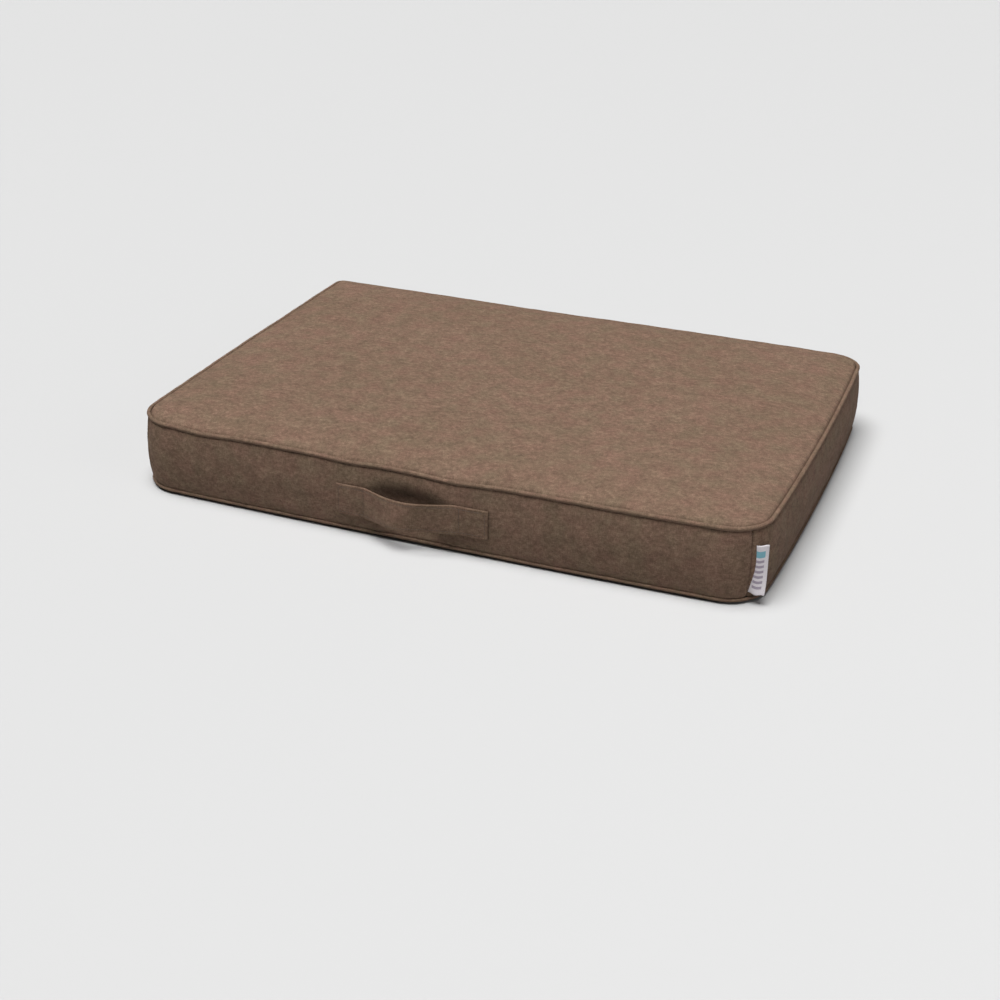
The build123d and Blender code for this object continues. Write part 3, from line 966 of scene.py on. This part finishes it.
def zip_coil(name, node, upper):
    """Moulded coil of one side of the zip, its loops reaching between those of the other side."""
    low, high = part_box(node)
    pitch, wire = 0.0014, 0.00034
    side = 1 if upper else -1
    turns = int((high.x - low.x - pitch) / pitch)
    phase = 0.0 if upper else pitch / 2
    t = np.linspace(0, 2 * math.pi * turns, turns * 10 + 1)
    depth = (high.y - low.y) / 2 - wire
    middle_y = (high.y + low.y) / 2
    reach = abs(high.z - ZIP_Z) if upper else abs(low.z - ZIP_Z)
    half = (reach + 0.0005) / 2 - wire
    x = low.x + phase + 0.0003 + pitch * t / (2 * math.pi)
    y = middle_y + depth * np.sin(t)
    z = ZIP_Z + side * (half + wire - 0.0005 + half * np.cos(t))
    made = tube_piece(name, np.column_stack([x, y, z]), wire, 5, False, COIL)
    return finish_piece(made, "bed", "zip_coil", node)


def zip_tabs():
    """Folded scraps of cover cloth sewn over both ends of the zip."""
    low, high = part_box("zip_end_tabs")
    length = high.x - (ZIP_END + TAB_CLEAR)
    lumps, stitches = [], []
    for side in (-1, 1):
        xs = lines_between(0, length, 0.0012, (0, 0.0003, 0.0008))
        zs = lines_between(low.z, high.z, 0.0012, (0, 0.0003, 0.0008))
        u, z = np.meshgrid(xs, zs)
        rim = np.minimum(np.minimum(u, length - u), np.minimum(z - low.z, high.z - z))
        proud = 0.0003 + 0.0010 * (1 - np.exp(-rim / 0.0006))
        x = side * (ZIP_END + TAB_CLEAR + u)
        over = TAB_RIDGE * np.exp(-((z - ZIP_Z) / 0.0045) ** 2)
        points = np.stack([x, HALF_D + BACK_BULGE + proud + over, z], -1).reshape(-1, 3)
        uv = np.stack([x, z], -1).reshape(-1, 2)
        lumps.append((points, grid_faces(*u.shape, flip=side > 0), uv))
        y = HALF_D + BACK_BULGE + 0.0014
        for at in (0.002, length - 0.002):
            line = []
            for h in np.linspace(low.z + 0.002, high.z - 0.002, 16):
                ridge = TAB_RIDGE * math.exp(-((h - ZIP_Z) / 0.0045) ** 2)
                line.append((side * (ZIP_END + TAB_CLEAR + at), y + ridge, h))
            stitches += stitch_line(line, (0, 1, 0))
    made = merged("zip_tab_cloth", lumps, COVER)
    thicken(made, 0.0009, levels=0)
    finish_piece(made, "bed", "cover_cloth", "zip_end_tabs")
    finish_piece(merged("zip_tab_stitching", stitches, THREAD), "bed", "cover_cloth")


def zip_topstitching(bands):
    """A row of stitches along the folded edge of each back strip."""
    lumps = []
    for side, strip in ((1, bands["upper"]), (-1, bands["lower"])):
        tree = surface_finder(strip)
        height = ZIP_Z + side * (LIP_GAP + 0.0030)
        xs = np.arange(-ZIP_END, ZIP_END, 0.002)
        row = [(x, surface_y(tree, x, height, 1), height) for x in xs]
        lumps += stitch_line(row, (0, 1, 0))
    finish_piece(merged("zip_topstitching", lumps, THREAD), "bed", "cover_cloth")


# ============================================================ foam and liner
def core_outline(half_w, half_d, r, inset):
    """Closed plan outline of a block, finer along the front where the strap hollow lies."""
    ring = []
    for _, sx, sy, middle in CORNERS:
        for a in np.radians(np.linspace(middle - 45, middle + 45, 10)):
            ring.append((sx * (half_w - r) + math.cos(a) * (r - inset),
                         sy * (half_d - r) + math.sin(a) * (r - inset)))
        if (sx, sy) == (-1, -1):
            ring += [(x, inset - half_d) for x in np.linspace(-0.09, 0.06, 31)]
    return np.array(ring)


def slab(name, node, material, seed, edge=0.004):
    """Soft block with slightly rounded edges, an uneven face and the strap's hollow in its front."""
    low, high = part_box(node)
    r = CAD_CORNER_R - (HALF_W - high.x)
    height = high.z - low.z
    ends = [(0, edge), (edge * 0.3, edge * 0.3), (edge, 0)]
    middle = [(z, 0) for z in np.linspace(edge, height - edge, max(2, int(height / 0.006)))[1:-1]]
    rows = ends + middle + [(height - z, inset) for z, inset in ends[::-1]]
    outlines = []
    for z, inset in rows:
        plan = core_outline(high.x, high.y, r, inset)
        outlines.append(np.column_stack([plan, np.full(len(plan), low.z + z)]))
    points = np.array(outlines)
    points[..., :2] *= (1 + 0.0008 * wobbles(points, 0.05, seed))[..., None]
    press = np.maximum(0, dent(points[..., 0], points[..., 2]) - DENT_REACHES_CORE)
    points[..., 1] += press * (points[..., 1] < 0)
    points = bowed(points)
    sides = points.shape[1]
    faces = grid_faces(len(rows), sides, wrap=True)
    faces += end_caps(len(rows), sides)
    return piece(name, points, faces, points[..., :2], material)


def core():
    """Two foam layers in a thin liner bag."""
    memory = slab("memory_foam_slab", "memory_foam", MEMORY, 41)
    support = slab("support_foam_slab", "support_foam", SUPPORT, 41)
    liner = slab("liner_bag", "inner_liner", LINER, 41)
    thicken(liner, 0.0005, levels=0)
    finish_piece(memory, "bed", "memory_foam", "memory_foam")
    finish_piece(support, "bed", "support_foam", "support_foam")
    finish_piece(liner, "bed", "liner_cloth", "inner_liner")


# ============================================================ stage, light and camera
def stage():
    """Pale floor, and a world that is bright only in a band along the horizon."""
    floor_material, _, _, shader = new_material("floor")
    shader.inputs["Base Color"].default_value = (*FLOOR_COLOUR, 1)
    shader.inputs["Roughness"].default_value = 0.9
    corners = [(x * FLOOR_REACH, y * FLOOR_REACH, 0) for x, y in ((-1, -1), (1, -1), (1, 1), (-1, 1))]
    piece("floor", corners, [(0, 1, 2, 3)], None, floor_material)
    world = bpy.data.worlds.new("studio")
    bpy.context.scene.world = world
    world.use_nodes = True
    nodes, links = world.node_tree.nodes, world.node_tree.links
    axes = nodes.new("ShaderNodeSeparateXYZ")
    links.new(nodes.new("ShaderNodeTexCoord").outputs["Generated"], axes.inputs["Vector"])
    sky = colour_ramp(nodes, links, axes.outputs["Z"], ((0.03, HORIZON_COLOUR), (0.14, ZENITH_COLOUR)))
    links.new(sky, nodes["Background"].inputs["Color"])


def place_light(data, place, back):
    """Puts a light in the scene with its back turned to a direction."""
    lamp = bpy.data.objects.new(data.name, data)
    lamp.location = place
    lamp.rotation_euler = Vector(back).to_track_quat("Z", "Y").to_euler()
    bpy.context.scene.collection.objects.link(lamp)


def key_light():
    """Broad soft light from overhead, a little to the front and left."""
    data = bpy.data.lights.new("key", "SUN")
    data.energy = KEY_STRENGTH
    data.angle = KEY_ANGLE
    place_light(data, (0, 0, 0), KEY_FROM)


def fill_light():
    """Square area light at the right, aimed at the bed's right side."""
    data = bpy.data.lights.new("fill", "AREA")
    data.shape = "RECTANGLE"
    data.size = data.size_y = FILL_SIZE
    data.energy = FILL_POWER
    place_light(data, FILL_AT, Vector(FILL_AT) - Vector(FILL_AIM))


def camera():
    """Looks along the photograph's line of sight, with a slight roll."""
    data = bpy.data.cameras.new("camera")
    data.lens = LENS
    data.sensor_width = SENSOR
    eye = bpy.data.objects.new("camera", data)
    look = Matrix.Rotation(CAMERA_YAW, 4, "Z") @ Matrix.Rotation(math.pi / 2 - CAMERA_PITCH, 4, "X")
    eye.matrix_world = Matrix.Translation(CAMERA_AT) @ look @ Matrix.Rotation(CAMERA_ROLL, 4, "Z")
    bpy.context.scene.collection.objects.link(eye)
    bpy.context.scene.camera = eye


def set_cad_finish(node, material):
    """Gives a CAD node that is kept as it is a finished material."""
    made = frame["nodes"][node]
    made.data.materials.clear()
    made.data.materials.append(material)


def main():
    camera()
    stage()
    key_light()
    fill_light()
    bpy.context.scene.view_settings.view_transform = "Standard"
    core()
    top_panel()
    bottom_panel()
    base_dots()
    bands = {}
    for name, first, seed, node in (
        ("front_band_cloth", 0, 11, "front_band"),
        ("right_band_cloth", 1, 12, "right_band"),
        ("left_band_cloth", 3, 13, "left_band"),
    ):
        bands[node] = band(name, first, seed, node)
    bands["upper"] = back_strip("back_strip_upper", True, 14, "back_band_upper")
    bands["lower"] = back_strip("back_strip_lower", False, 15, "back_band_lower")
    welt("top", TOP_SEAM_Z, TOP_SEED)
    welt("bottom", BOTTOM_SEAM_Z, BOTTOM_SEED)
    front = surface_finder(bands["front_band"])
    strap(front)
    strap_stitching(front)
    label()
    for side in ("upper", "lower"):
        zip_tape(f"zip_tape_{side}_cloth", f"zip_tape_{side}")
        zip_coil(f"zip_coil_{side}_wire", f"zip_coil_{side}", side == "upper")
    zip_tabs()
    zip_topstitching(bands)
    for node in ("zip_slider", "zip_pull", "zip_end_stops"):
        set_cad_finish(node, METAL)


main()
